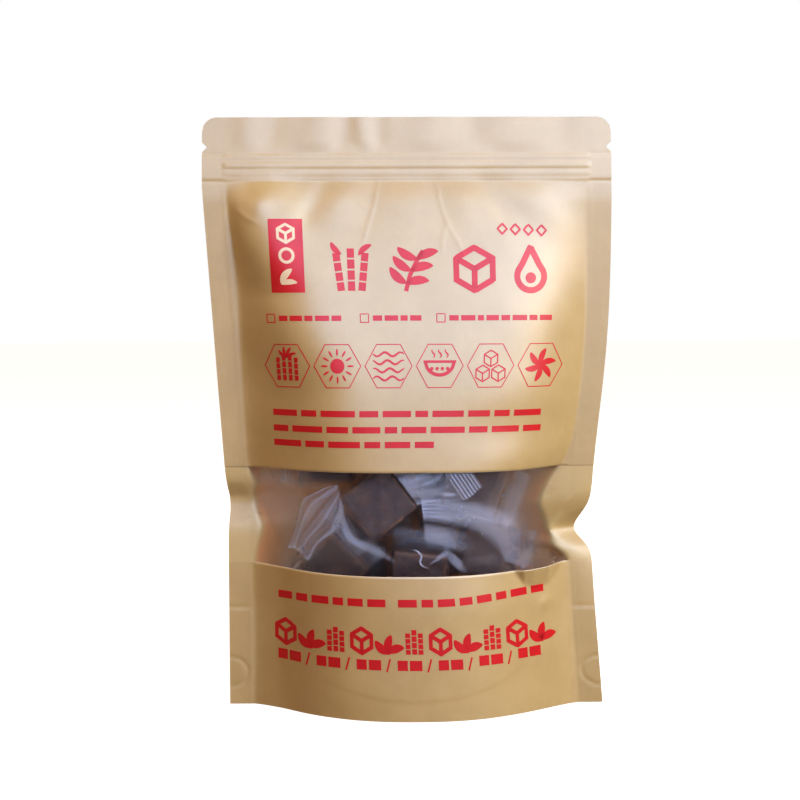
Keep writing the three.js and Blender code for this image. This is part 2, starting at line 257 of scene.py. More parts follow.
def crease(s, z, points, half, out):
    """A sharp ridge or groove along a line, fading towards its ends."""
    distance, along = polyline_distance(s, z, points)
    fade = np.sin(np.pi * np.clip(0.12 + 0.76 * along, 0, 1)) ** 0.6
    return out * fade * np.exp(-distance / half)


def swells(s, z, shapes):
    """The sum of soft oval dents and swells."""
    total = 0 * z
    for place_s, place_z, wide, high, out, turn in shapes:
        c, n = math.cos(math.radians(turn)), math.sin(math.radians(turn))
        ds, dz = s - place_s, z - place_z
        total = total + out * bump(c * ds + n * dz, 0, wide) * bump(c * dz - n * ds, 0, high)
    return total


def lip(s, z):
    """The turned-out lip of paper under the window's lower right end, above a soft fold."""
    fold = np.interp(s, LIP_FOLD["s"], LIP_FOLD["z"])
    over = z - fold
    out = LIP_FOLD["slope"] * (np.sqrt(over**2 + 0.5) + over) / 2
    return out * smooth(WINDOW_BOTTOM + 9, WINDOW_BOTTOM, z) * smooth(40, 46, s)


def zip_relief(s, z):
    band = smooth(ZIP_BOTTOM - 0.6, ZIP_BOTTOM + 0.6, z) * smooth(ZIP_TOP + 0.8, ZIP_TOP - 0.4, z)
    total = ZIP_BAND_PROUD * band
    for ridge in ZIP_RIDGES:
        near = smooth(ridge["half"] + ridge["soft"], ridge["half"] * 0.4, np.abs(z - ridge["z"]))
        total = total + ridge["out"] * near * inside(s, 1.5, -0.5)
    return total


def waves(s, z):
    """The header's soft upright waves, and the wrinkles that fan out below the zip."""
    total = 0 * z
    for group, strength, root in (
        (HEADER_WAVES, smooth(ZIP_TOP - 1, ZIP_TOP + 7, z), HEADER_MIDDLE),
        (FAN_WAVES, bump(z, ZIP_BOTTOM - 11, 11), ZIP_BOTTOM),
    ):
        for place, wide, lean, out in group:
            total = total + strength * out * bump(s - lean * (z - root), place, wide)
    return WAVE_DEPTH * inside(s, 4, -12) * total


def seal_marks(s, z):
    """Embossed lines in the side seals: the gusset's fold, the zip's ends, punched corners and the bead."""
    fold = -0.17 * bump(z, GUSSET_TOP, 0.8)
    step = 0.09 * smooth(GUSSET_TOP, GUSSET_TOP - 1.2, z)
    zip_ends = -0.16 * (bump(z, ZIP_BOTTOM, 0.8) + bump(z, ZIP_TOP, 0.8))
    bead = 0.07 * bump(np.abs(s), HALF_PANEL + 0.6, 0.9) * smooth(ZIP_BOTTOM, ZIP_BOTTOM - 4, z)
    punch = np.hypot((HALF_WIDTH - np.abs(s)) / 8.2, (z - 14.5) / 6.6)
    ring = -0.24 * bump(punch, 1.0, 0.12)
    return inside(s, -0.5, 0.8) * (fold + step + zip_ends + ring) + bead


def seal_height(s):
    """How high the seal between a panel and the gusset stands."""
    return SEAL_MIDDLE + SEAL_CORNER * np.clip(np.abs(s) / HALF_PANEL, 0, 1) ** 2.2


def bottom_seal_mark(s, z):
    shown = inside(s, 0, -6) * smooth(-62, -28, s) * smooth(62, 40, s)
    return -0.13 * shown * smooth(seal_height(s) + 0.9, seal_height(s) - 0.9, z)


def eased(z, knots):
    """A value that eases from knot to knot, each (height, value)."""
    total = knots[0][1] + 0 * z
    for (z0, v0), (z1, v1) in zip(knots, knots[1:]):
        total = total + (v1 - v0) * smooth(z0, z1, z)
    return total


def front_section(s, z):
    """The front's share of its full depth: 1 in the middle, 0 where the panels part."""
    u = np.clip(np.abs(s) / reach(s, z), 0, 1)
    flat = np.where(s < 0, eased(z, LEFT_FLAT), eased(z, RIGHT_FLAT))
    soft = np.where(s < 0, eased(z, LEFT_SOFT), eased(z, RIGHT_SOFT))
    return np.maximum(0, 1 - u**flat) ** soft


def shared_relief(s, z):
    """Both panels' waves, which the back takes the other way round, and their seal marks."""
    return waves(s, z), seal_marks(s, z) + bottom_seal_mark(s, z)


def front_relief(s, z):
    wavy, marks = shared_relief(s, z)
    total = zip_relief(s, z) + wavy + marks + inside(s, 1, -6) * swells(s, z, FRONT_SWELLS)
    for points, half, out in FRONT_CREASES:
        total = total + crease(s, z, points, half, out)
    return total + lip(s, z)


def panel_points(s, z, y):
    """Where the flat pouch's (s, z) lie in space, at y from the seals' middle surface."""
    return np.stack([across(s, z), middle(s, z) + y, z + 0 * s], -1)


def front_surface(s, z):
    return panel_points(s, z, -(SEAL_HALF + crest(z) * front_section(s, z) + front_relief(s, z)))


def back_surface(s, z):
    u = np.clip(np.abs(s) / reach(s, z), 0, 1)
    wavy, marks = shared_relief(s, z)
    relief = 0.6 * zip_relief(s, z) - wavy + marks + inside(s, 0, -9) * swells(s, z, BACK_SWELLS)
    return panel_points(s, z, SEAL_HALF + crest(z) * np.maximum(0, 1 - u * u) + relief)


def outward(surface, s, z, side):
    """The unit normals of a panel at (s, z), pointing out of the pouch. side is -1 in front, 1 behind."""
    step = 0.35
    along_s = surface(s + step, z) - surface(s - step, z)
    along_z = surface(s, z + step) - surface(s, z - step)
    return unit(np.cross(along_s, along_z) * -side)


def lifted(surface, s, z, side, lift):
    return surface(s, z) + outward(surface, s, z, side) * np.asarray(lift)[..., None]


def linked(name, data):
    """A new object in the scene."""
    made = bpy.data.objects.new(name, data)
    bpy.context.scene.collection.objects.link(made)
    return made


class Shell:
    """Gathers closed plates and tubes into one mesh.

    Each point carries a haze from 0 to 1: how milky film is, with painted glint lines on the loose wrapper
    film, how pressed paper is, and how worn sugar is.
    """

    def __init__(self, lift=0.0):
        self.lift = lift
        self.points = []
        self.faces = []
        self.slots = []
        self.haze = []
        self.count = 0

    def add(self, points, faces, slot=0, haze=0.0):
        self.points.append(np.asarray(points, float).reshape(-1, 3))
        self.faces.append(np.asarray(faces, int).reshape(-1, 4) + self.count)
        self.slots.append(np.broadcast_to(slot, len(self.faces[-1])))
        self.haze.append(np.broadcast_to(haze, len(self.points[-1])))
        self.count += len(self.points[-1])

    def plate(self, outer, inner, flip=False, inner_slot=0, rim_slot=0, haze=0.0):
        """A plate between two grids of points, closed round its rim. Grids run in s, then in z."""
        top = np.arange(outer[..., 0].size).reshape(outer.shape[:2])
        under = top + top.size
        rims = [
            [top[:-1, 0], under[:-1, 0], under[1:, 0], top[1:, 0]],
            [top[1:, -1], under[1:, -1], under[:-1, -1], top[:-1, -1]],
            [top[0, 1:], under[0, 1:], under[0, :-1], top[0, :-1]],
            [top[-1, :-1], under[-1, :-1], under[-1, 1:], top[-1, 1:]],
        ]
        groups = [(quads(top), 0), (quads(under)[:, ::-1], inner_slot)]
        groups += [(np.stack(rim, -1), rim_slot) for rim in rims]
        faces = np.concatenate([quad for quad, _ in groups])
        slots = np.concatenate([np.full(len(quad), slot) for quad, slot in groups])
        haze = np.tile(np.broadcast_to(haze, top.shape).ravel(), 2)
        self.add(np.stack([outer, inner]), faces[:, ::-1] if flip else faces, slots, haze)

    def build(self, name, *materials):
        points = np.concatenate(self.points) * MM
        faces = np.concatenate(self.faces)
        mesh = bpy.data.meshes.new(name)
        mesh.vertices.add(len(points))
        mesh.vertices.foreach_set("co", points.ravel())
        mesh.loops.add(faces.size)
        mesh.loops.foreach_set("vertex_index", faces.ravel())
        mesh.polygons.add(len(faces))
        mesh.polygons.foreach_set("loop_start", np.arange(0, faces.size, 4))
        mesh.polygons.foreach_set("material_index", np.concatenate(self.slots))
        mesh.update(calc_edges=True)
        haze = np.concatenate(self.haze)
        if haze.any():
            mesh.attributes.new("haze", "FLOAT", "POINT").data.foreach_set("value", haze)
        mesh.validate()
        mesh.shade_smooth()
        mesh.set_sharp_from_angle(angle=math.radians(50))
        for material in materials:
            mesh.materials.append(material)
        return linked(name, mesh)


def spread(*stretches):
    """Evenly spaced values through (from, to, step) stretches that follow each other."""
    parts = [np.linspace(a, b, max(2, round(abs(b - a) / step) + 1))[:-1] for a, b, step in stretches]
    return np.concatenate(parts + [[stretches[-1][1]]])


def edge_shape(s, z):
    """Bends a grid's outer columns and top rows to the rounded corners and the tear notches."""
    side = np.sign(s)
    over = np.maximum(0, np.abs(s) - HALF_PANEL)
    cut = NOTCH["deep"] * np.maximum(0, 1 - np.abs(z - NOTCH["z"]) / NOTCH["half_mouth"])
    s = np.where(over > 0, side * (HALF_PANEL + over * (SIDE_SEAL - cut) / SIDE_SEAL), s)
    out = np.clip(np.abs(s) - (HALF_WIDTH - CORNER_RADIUS), 0, CORNER_RADIUS)
    drop = CORNER_RADIUS - np.sqrt(CORNER_RADIUS**2 - out**2)
    from_z = NOTCH["z"] + NOTCH["half_mouth"]
    share = np.clip((z - from_z) / (POUCH_HEIGHT - from_z), 0, 1)
    return s, z - drop * share


def columns(step):
    edge = step * 0.62
    return spread(
        (-HALF_WIDTH, -HALF_PANEL - 1, edge),
        (-HALF_PANEL - 1, HALF_PANEL + 1, step),
        (HALF_PANEL + 1, HALF_WIDTH, edge),
    )


def header_rows(step):
    notch = NOTCH["z"]
    mouth = NOTCH["half_mouth"]
    return [
        (ZIP_BOTTOM - 2, ZIP_TOP + 1, step * 0.55),
        (ZIP_TOP + 1, notch, 0.6),
        (notch, notch + mouth, 0.55),
        (notch + mouth, POUCH_HEIGHT, step * 0.9),
    ]


def window_edge(s):
    """The height of the paper's edge along the foot of the window."""
    return WINDOW_BOTTOM + WINDOW_END_RISE * (np.abs(s) / HALF_PANEL).clip(0, 1) ** 4


CUT_EDGE = 0.22


def cut_width(s):
    """How much of the paper's cut edge shows along the window; none on the side seals."""
    return CUT_EDGE * inside(s, 1, -3)


def paper(name, surface, side, s, z, z_inner, materials, haze=0.0):
    """A sheet of paper along a panel: its outer face, its inner face and its cut edge."""
    shell = Shell()
    inner = lifted(surface, s, z_inner, side, -PAPER_THICK)
    shell.plate(surface(s, z), inner, flip=side > 0, inner_slot=1, rim_slot=2, haze=haze)
    return shell.build(name, *materials)


def front_upper_panel(*materials):
    rows = spread((WINDOW_TOP, ZIP_BOTTOM - 2, PANEL_STEP), *header_rows(PANEL_STEP))
    s, z = edge_shape(*grid(columns(PANEL_STEP), rows))
    z_inner = z.copy()
    z_inner[:, 0] -= cut_width(s[:, 0])
    return paper("front_upper_panel", front_surface, -1, s, z, z_inner, materials)


def front_lower_panel(*materials):
    s, v = grid(columns(PANEL_STEP), np.linspace(0, 1, round(WINDOW_BOTTOM / PANEL_STEP)))
    z = v * window_edge(s)
    z_inner = z.copy()
    z_inner[:, -1] += cut_width(s[:, -1])
    return paper("front_lower_panel", front_surface, -1, s, z, z_inner, materials)


def back_panel(*materials):
    rows = spread((0, ZIP_BOTTOM - 2, BACK_STEP), *header_rows(BACK_STEP))
    s, z = edge_shape(*grid(columns(BACK_STEP), rows))
    pressed = smooth(0.955, 1.0, np.abs(s) / reach(s, z))
    return paper("back_panel", back_surface, 1, s, z, z, materials, haze=pressed)


def gusset_point(s, t):
    """The gusset's sheet: t from -1 to 1 crosses it, and beyond that it runs down inside a panel."""
    climb = np.clip(np.abs(t) - 1, 0, 1)
    high = seal_height(s)
    fold = GUSSET_FOLD * smooth(BELLY_HALF, HALF_PANEL + 6, np.abs(s))
    belly = mix(fold, high, smooth(BELLY_FLAT, 1, np.abs(t)))
    z = np.where(climb > 0, mix(high, 0, climb), belly)
    inset = PAPER_THICK * 2.2
    level = np.where(climb > 0, z, high)
    front = front_surface(s, level)[..., 1] + inset
    back = back_surface(s, level)[..., 1] - inset
    share = np.clip((t + 1) / 2, 0, 1)
    waved = CRINKLE_HIGH * np.sin(s / CRINKLE_SIZE + 2 * t)
    crinkle = waved * smooth(BELLY_HALF, HALF_PANEL, np.abs(s)) * (climb == 0)
    return np.stack([across(s, z), mix(front, back, share), np.maximum(z + crinkle, 0)], -1)


def gusset(*materials):
    t = np.concatenate([np.linspace(-2, -1, 9)[:-1], np.linspace(-1, 1, 61), np.linspace(1, 2, 9)[1:]])
    outer = gusset_point(*grid(np.linspace(1 - HALF_PANEL, HALF_PANEL - 1, 131), t))
    normal = unit(np.cross(np.gradient(outer, axis=0), np.gradient(outer, axis=1)))
    shell = Shell()
    shell.plate(outer, outer + normal * PAPER_THICK, flip=True, inner_slot=1)
    return shell.build("gusset", *materials)


def film(material):
    """The window's strip of film, hazy where it lies off the back panel and clearer at its left end."""
    rows = np.linspace(WINDOW_BOTTOM - WINDOW_LAP, WINDOW_TOP + WINDOW_LAP, 62)
    s, z = grid(columns(PANEL_STEP), rows)
    outer, inner = (lifted(front_surface, s, z, -1, -FILM_UNDER - thick) for thick in (0, FILM_THICK))
    veil = smooth(1.0, 0.9, np.abs(s) / reach(s, z)) * mix(0.45, 1, smooth(-72, -40, s))
    shell = Shell()
    shell.plate(outer, inner, haze=veil)
    return shell.build("window_film_strip", material)


PRINT_LIFT = 0.08
PRINT_SINK = 0.05
PRINT_STEP = 0.8


def print_mark(shell, s, z):
    """A closed patch of ink that follows the front panel, from grids of s and z."""
    turned = (s[1, 0] - s[0, 0]) * (z[0, 1] - z[0, 0]) < (z[1, 0] - z[0, 0]) * (s[0, 1] - s[0, 0])
    outer, inner = (lifted(front_surface, s, z, -1, lift) for lift in (shell.lift, -PRINT_SINK))
    shell.plate(outer, inner, flip=turned)


def stroke(shell, points, width, taper=0.0, closed=False):
    """A line of ink through (s, z) points. A taper above 0 narrows it to pointed ends."""
    points = np.array(points + points[:1] if closed else points, float)
    lengths = np.hypot(*np.diff(points, axis=0).T)
    along = np.concatenate([[0], np.cumsum(lengths)])
    stations = np.concatenate([np.arange(0, along[-1], PRINT_STEP), along])
    stations = np.unique(np.round(stations, 5))
    path = np.stack([np.interp(stations, along, points[:, k]) for k in (0, 1)], -1)
    tangent = np.gradient(path, stations, axis=0)
    if closed:
        ends = path[1] - path[-2]
        tangent[0] = tangent[-1] = ends / np.hypot(*ends)
    length = np.hypot(*tangent.T)[:, None]
    side = np.stack([-tangent[:, 1], tangent[:, 0]], -1) / length
    widen = np.minimum(1 / length, 1.42)
    share = stations / stations[-1]
    half = width / 2 * (1 - taper + taper * np.sin(np.pi * share) ** 0.7)[:, None] * widen
    cuts = np.linspace(-1, 1, max(3, round(width / PRINT_STEP) + 2))
    grid = path[:, None] + side[:, None] * (half * cuts)[..., None]
    print_mark(shell, grid[..., 0], grid[..., 1])


def bar(shell, s0, s1, z, high):
    stroke(shell, [(s0, z), (s1, z)], high)


def disc(shell, s, z, radius):
    ramp = np.linspace(-1, 1, max(5, round(2 * radius / PRINT_STEP)))
    a, b = grid(ramp, ramp)
    print_mark(shell, s + radius * a * np.sqrt(1 - b * b / 2), z + radius * b * np.sqrt(1 - a * a / 2))


def polar(s, z, radius, degrees, squash=1.0):
    a = math.radians(degrees)
    return s + radius * math.cos(a), z + radius * squash * math.sin(a)


def arc_points(s, z, radius, start, end, count=16, squash=1.0):
    return [polar(s, z, radius, mix(start, end, i / (count - 1)), squash) for i in range(count)]


def leaf(shell, s, z, length, width, turn):
    """A pointed leaf that bends along its length."""
    t = np.linspace(0, 1, 12)[:, None]
    bent, tip = (np.array(polar(s, z, *way)) for way in ((length * 0.5, turn + 24), (length, turn)))
    curve = (1 - t) ** 2 * np.array([s, z]) + 2 * t * (1 - t) * bent + t * t * tip
    stroke(shell, curve.tolist(), width, taper=0.93)


def cane(shell, s, z0, z1, lean, width, lengths=4):
    """A stalk in a few lengths with a gap at each joint."""
    for k in range(lengths):
        parts = (k + 0.05) / lengths, (k + 0.9) / lengths
        stroke(shell, [(s + lean * t, mix(z0, z1, t)) for t in parts], width)


def cube_outline(shell, s, z, size, width):
    """A cube seen corner on: a hexagon and its three inner edges."""
    rim = arc_points(s, z, size, 90, -210, 6)
    stroke(shell, rim, width, closed=True)
    for k in (1, 3, 5):
        stroke(shell, [(s, z), (mix(s, rim[k][0], 0.9), mix(z, rim[k][1], 0.9))], width)


def greeked_row(shell, s0, s1, z, high, lengths, gap, rise=0.0):
    """A row of plain bars where the pack has small words."""
    scale = (s1 - s0) / (sum(lengths) + gap * (len(lengths) - 1))
    for length in lengths:
        end = s0 + length * scale
        stroke(shell, [(s, z + rise * smooth(10, 66, s)) for s in (s0, end)], high)
        s0 = end + gap * scale


LABEL = {"left": -61.6, "right": -46.6, "low": 183.0, "high": 215.0}
TITLE_LOW = 183.5
TITLE_HIGH = 202.5
CHECK_ROW = 172.0
HEXAGONS = {"z": 151.6, "radius": 10.6, "places": (-56.5, -33.4, -10.3, 12.8, 35.9, 59.0)}


def title_marks(shell):
    """Four bold marks: cane stalks, a sprig, a sugar cube and a drop."""
    low, high = TITLE_LOW, TITLE_HIGH
    for s, lean in ((-31.5, -2.0), (-26.0, 0.0), (-20.5, 2.0)):
        cane(shell, s - lean / 2, low, high - 2 * abs(lean) / 2, lean, 3.2)
    leaf(shell, -22.5, high - 3.5, 7.5, 2.6, 38)
    leaf(shell, -30.0, high - 3.0, 7.0, 2.6, 130)
    stem = [(-2.0, low), (0.0, low + 7), (3.6, low + 14), (6.0, high - 1.5)]
    stroke(shell, stem, 1.9)
    for s, z, turn in ((-1.6, low + 3, 8), (0.6, low + 8.5, 14), (3.4, low + 13.5, 22)):
        leaf(shell, s, z, 10.0, 3.9, turn)
        leaf(shell, s, z + 0.5, 10.0, 3.9, turn + 128)
    cube_outline(shell, 28.5, (low + high) / 2, 9.3, 2.6)
    drop = [(53.5, high), (49.6, low + 11.4)] + arc_points(53.5, low + 6.3, 6.1, 158, 382, 20)
    stroke(shell, drop + [(57.4, low + 11.4)], 2.7, closed=True)
    disc(shell, 53.5, low + 5.6, 2.4)


def checks(shell):
    """Three outlined boxes with a line of bars after each."""
    rows = (
        (-64.6, -31.0, (3.2, 4.6, 3.0, 5.2, 3.6)),
        (-22.6, 4.6, (3.4, 5.0, 2.6, 4.2)),
        (11.4, 63.4, (3.4, 5.2, 2.2, 4.6, 3.2, 5.4, 3.0, 4.6)),
    )
    for s, end, lengths in rows:
        z = CHECK_ROW
        box = [(s, z - 1.8), (s + 3.7, z - 1.8), (s + 3.7, z + 1.8), (s, z + 1.8)]
        stroke(shell, box, 0.42, closed=True)
        greeked_row(shell, s + 5.6, end, z, 2.3, lengths, 0.9)


def hexagon_marks(shell):
    """Six thin hexagons in a row, each with a simple line motif."""
    z, radius = HEXAGONS["z"], HEXAGONS["radius"]
    for k, s in enumerate(HEXAGONS["places"]):
        stroke(shell, arc_points(s, z, radius, 0, 300, 6), 0.4, closed=True)
        if k == 0:
            for offset in (-4.2, -1.4, 1.4, 4.2):
                cane(shell, s + offset, z - 6.5, z + 5.5 - abs(offset) * 0.4, 0.0, 1.7)
            for turn in (35, 75, 115, 150):
                leaf(shell, s, z + 3.5, 5.0, 1.3, turn - 12)
        if k == 1:
            for turn in range(0, 360, 30):
                stroke(shell, [polar(s, z, out, turn) for out in (4.4, 7.4)], 0.9, taper=0.6)
            disc(shell, s, z, 3.2)
        if k == 2:
            for row in range(4):
                foot = z - 5.2 + 3.4 * row
                wave = [(s - 7 + i, foot + 0.9 * math.sin(i * 0.9 + row)) for i in range(15)]
                stroke(shell, wave, 1.0, taper=0.5)
        if k == 3:
            stroke(shell, arc_points(s, z + 1.5, 6.3, 180, 360, 18, 0.85), 1.5)
            stroke(shell, [(s - 7.4, z + 1.8), (s + 7.4, z + 1.8)], 1.1)
            for offset in (-3.0, 0.0, 3.0):
                steam = [(s + offset + 0.7 * math.sin(i * 0.9), z + 3.4 + 0.6 * i) for i in range(7)]
                stroke(shell, steam, 0.7, taper=0.6)
            for offset in (-3.6, -1.2, 1.2, 3.6):
                disc(shell, s + offset, z - 1.2, 0.8)
        if k == 4:
            for ds, dz in ((-3.6, -3.3), (3.6, -3.3), (0.0, 3.0)):
                cube_outline(shell, s + ds, z + dz, 3.5, 0.6)
        if k == 5:
            for turn in range(0, 360, 60):
                leaf(shell, s, z, 7.4, 2.7, turn + 12)


def small_marks(shell):
    """The little row of diamonds above the title's right end."""
    for s in (41.2, 47.0, 52.8, 58.6):
        z = 210.5 - 0.04 * (s - 41)
        stroke(shell, [(s - 2.1, z), (s, z + 2.3), (s + 2.1, z), (s, z - 2.3)], 0.9, closed=True)


def lower_marks(shell):
    first = (4.2, 3.4, 5.0, 3.0, 4.4, 5.2, 3.2, 4.8, 3.6, 4.2, 3.0, 4.8, 3.8)
    greeked_row(shell, -66.0, -13.0, 51.0, 3.3, first[:6], 1.3)
    greeked_row(shell, -7.0, 65.0, 51.0, 3.3, first[5:], 1.3, rise=2.6)
    low, high = 29.0, 40.0
    middle_z = (low + high) / 2
    for k in range(11):
        s = -62.5 + k * 12.5
        z = middle_z + 1.0 * float(smooth(10, 66, s))
        if k % 3 == 0:
            cube_outline(shell, s, z, 5.4, 1.8)
        elif k % 3 == 1:
            for turn in (30, 90, 150):
                leaf(shell, s, z - 5.0, 8.0, 3.8, turn - 12)
            stroke(shell, [(s, z - 5.6), (s, z - 2.0)], 1.5)
        else:
            for offset in (-3.0, 0.0, 3.0):
                shift = z - middle_z
                cane(shell, s + offset, low + shift, high + shift - abs(offset) * 0.5, 0.0, 2.3)
    for k in range(7):
        s = -66.5 + k * 19.4
        z = 24.3 + 2.2 * float(smooth(10, 66, s + 6))
        bar(shell, s, s + 4.8, z, 4.4)
        bar(shell, s + 5.8, s + 11.6, z, 4.4)
        if k < 6:
            stroke(shell, [(s + 14.2, z - 2.8), (s + 16.0, z + 2.8)], 0.8)


def red_print(material):
    shell = Shell(PRINT_LIFT)
    label = np.linspace(LABEL["left"], LABEL["right"], 21), np.linspace(LABEL["low"], LABEL["high"], 41)
    print_mark(shell, *grid(*label))
    title_marks(shell)
    small_marks(shell)
    checks(shell)
    hexagon_marks(shell)
    rows = (
        (-64.6, 61.0, 131.3, (8, 5, 11, 6, 9, 4, 10, 7, 5, 9)),
        (-64.8, 61.6, 124.5, (5, 10, 7, 9, 4, 8, 11, 6, 9, 6)),
        (-65.0, 11.0, 118.2, (9, 6, 10, 5, 8, 6)),
    )
    for s0, s1, z0, lengths in rows:
        greeked_row(shell, s0, s1, z0, 2.7, lengths, 1.4)
    lower_marks(shell)
    return shell.build("red_print", material)


def pale_print(material):
    """Three cream shapes on the red label: a cube, a disc and a leaf."""
    shell = Shell(2 * PRINT_LIFT)
    s = (LABEL["left"] + LABEL["right"]) / 2
    cube_outline(shell, s, 208.6, 4.0, 1.2)
    stroke(shell, arc_points(s, 199.0, 2.9, 0, 345, 24), 1.3, closed=True)
    leaf(shell, s - 3.0, 187.0, 8.0, 3.0, 50)
    leaf(shell, s - 3.0, 186.6, 7.2, 2.4, 5)
    return shell.build("pale_print", material)


# The wrapped blocks, as in the solids: centre, turn in degrees about X, Y and Z, and the wrapper's ends.
BLOCK = {"length": 27.0, "width": 26.0, "thick": 22.0}
BLOCKS = [
    {"at": (-12.5, -12.2, 91.5), "turn": (84, -3, 38), "ends": (5, 7)},
    {"at": (-33, -3.6, 63.4), "turn": (96, -8, 44), "ends": (4, 3)},
    {"at": (27.5, -7.5, 98.5), "turn": (88, 6, -18), "ends": (3, 6)},
    {"at": (35.1, 2.7, 68.6), "turn": (90, 9, -12), "ends": (3, 3)},
    {"at": (4, -9, 58.5), "turn": (94, 0, 84), "ends": (3, 3)},
    {"at": (-36, 1.4, 111.4), "turn": (90, 0, 0), "ends": (3, 2)},
]
# Blocks further back, that only show as the dark behind the others.
REAR_BLOCKS = [
    {"at": (-12.0, 11.0, 86.0), "turn": (90, 2, 8)},
    {"at": (8.5, 13.4, 58.5), "turn": (90, -3, -5)},
    {"at": (17.0, 10.6, 90.0), "turn": (90, 0, 3)},
    {"at": (-8.0, 3.0, 121.0), "turn": (90, 0, 12)},
    {"at": (24.0, 3.0, 127.0), "turn": (90, 3, -10)},
    {"at": (-22.0, 12.2, 57.0), "turn": (90, 3, 3)},
]
BLOCK_STEPS = 22
BLOCK_ROUND = 2.0
# The bare block is smaller than the wrapped one, and its bumps stand on a face sunk a little more.
BLOCK_INSET = 0.9
FACE_SUNK = 0.35
# The bumps of pressed sugar: height, size and what sets one noise apart from the next.
BLOCK_BUMPS = ((0.5, 7.0, 0), (0.16, 1.6, 3))


def placed(points, block):
    """Points in a block's own frame, moved to its place in the pouch."""
    rx, ry, rz = (math.radians(a) for a in block["turn"])
    turn = Matrix.Rotation(rx, 3, "X") @ Matrix.Rotation(ry, 3, "Y") @ Matrix.Rotation(rz, 3, "Z")
    return points @ np.array(turn).T + np.array(block["at"])


def rough(points, scale, seed):
    """Fractal noise at each point, which is the same every run."""
    offset = Vector((seed * 17.3, seed * 5.1, seed * 9.7))
    flat = points.reshape(-1, 3)
    values = [noise.fractal(Vector(p) / scale + offset, 0.8, 2.1, 3) for p in flat]
    return np.array(values).reshape(points.shape[:-1])


def block_points(seed):
    """A rounded block of pressed sugar as six grids that share their edges."""
    half = np.array([BLOCK["length"], BLOCK["width"], BLOCK["thick"]]) / 2 - BLOCK_INSET
    ramp = np.sin(np.linspace(-math.pi / 2, math.pi / 2, BLOCK_STEPS + 1))
    u, v = grid(ramp, ramp)
    grids = []
    for axis in range(3):
        for side in (-1, 1):
            cube = np.empty(u.shape + (3,))
            cube[..., axis] = side
            cube[..., (axis + 1) % 3] = u if side > 0 else v
            cube[..., (axis + 2) % 3] = v if side > 0 else u
            at = cube * half
            core = np.clip(at, BLOCK_ROUND - half, half - BLOCK_ROUND)
            out = unit(at - core)
            bumps = sum(high * rough(core + out, size, seed + other) for high, size, other in BLOCK_BUMPS)
            wear = smooth(0.99, 0.8, np.abs(out).max(axis=-1)) * (0.7 + 0.8 * bumps)
            face = core + out * (BLOCK_ROUND - FACE_SUNK + bumps[..., None])
            grids.append(np.concatenate([face, wear[..., None]], -1))
    return grids


def welded(grids):
    """Grids of (x, y, z, wear) as points and quads, with the points that coincide made one."""
    points = np.concatenate([g.reshape(-1, 4) for g in grids])
    _, first, which = np.unique(np.round(points[:, :3], 4), axis=0, return_index=True, return_inverse=True)
    faces = []
    start = 0
    for g in grids:
        k = start + np.arange(g[..., 0].size).reshape(g.shape[:2])
        faces.append(quads(k))
        start += k.size
    return points[first], which.ravel()[np.concatenate(faces)]


def sugar_blocks(material):
    for i, block in enumerate(BLOCKS + REAR_BLOCKS, 1):
        points, faces = welded(block_points(i))
        shell = Shell()
        shell.add(placed(points[:, :3], block), faces, haze=np.clip(points[:, 3], 0, 1))
        piece = shell.build(f"sugar_{i}", material)
        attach(piece, "root")
        if i <= len(BLOCKS):
            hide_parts(f"sugar_block_{i}")


WRAPPER_NECK = 4.0
WRAPPER_FIN_HALF = 12.3
CRIMP_PITCH = 1.5
WRAP_THICK = 0.12


def wrapper_skin(block, seed):
    """The clear skin round a block: snug on it, gathered past each end, and crimped flat beyond."""
    half_long = BLOCK["length"] / 2
    before, after = (half_long + WRAPPER_NECK + fin for fin in block["ends"])
    x = np.linspace(-before, after, 96)[:, None]
    turn = np.linspace(0, 2 * math.pi, 97)[None, :-1]
    full = smooth(half_long + WRAPPER_NECK, half_long - 0.6, np.abs(x))
    closing = smooth(0, 1.2, np.minimum(x + before, after - x))
    power = 2 / mix(2.2, 7, full)
    c, n = np.cos(turn), np.sin(turn)
    wave = 0.32 * np.sin(3 * turn + seed) * np.sin(x / 5 + seed) + 0.2 * np.sin(7 * turn + x / 3 + seed)
    pleats = 0.5 * np.sin(11 * turn + seed) * np.sin(np.pi * full)
    half_wide = mix(WRAPPER_FIN_HALF, BLOCK["width"] / 2 + 0.2, full) + wave * full
    half_thick = mix(0.22, BLOCK["thick"] / 2 + 0.25, full**1.2) + (wave + pleats) * full
    y = np.sign(c) * np.abs(c) ** power * half_wide
    z = np.sign(n) * np.abs(n) ** power * half_thick * np.maximum(closing, 0.15)
    ridges = 0.32 * np.sin(2 * math.pi * np.abs(x) / CRIMP_PITCH) * smooth(0.35, 0.0, full)
    z = z + ridges + (1 - full) * 1.4 * np.sin(y / 6 + seed)
    return np.stack([x + 0 * y, y, z], -1)


def ring_faces(rings, around):
    """Quads of a closed skin made of rings, its two ends closed across."""
    k = np.arange(rings * around).reshape(rings, around)
    nxt = np.roll(k, -1, axis=1)
    faces = [np.stack([k[:-1], nxt[:-1], nxt[1:], k[1:]], -1).reshape(-1, 4)]
    half = around // 2
    for ring, flip in ((k[0], True), (k[-1], False)):
        near = ring[: half + 1]
        far = np.roll(ring[::-1], 1)[: half + 1]
        cap = np.stack([near[:-1], near[1:], far[1:], far[:-1]], -1)[1:-1]
        faces.append(cap[:, ::-1] if flip else cap)
        for quad in ((near[0], near[1], far[1]), (near[half - 1], near[half], far[half - 1])):
            quad = quad[::-1] if flip else quad
            faces.append(np.array([[*quad, quad[-1]]]))
    return np.concatenate(faces)


def panel_place(x, z):
    """The flat position s whose x is given."""
    left, right = drawn_in(z)
    low, high = left - HALF_PANEL, HALF_PANEL - right
    return (x - low) / (high - low) * 2 * HALF_PANEL - HALF_PANEL


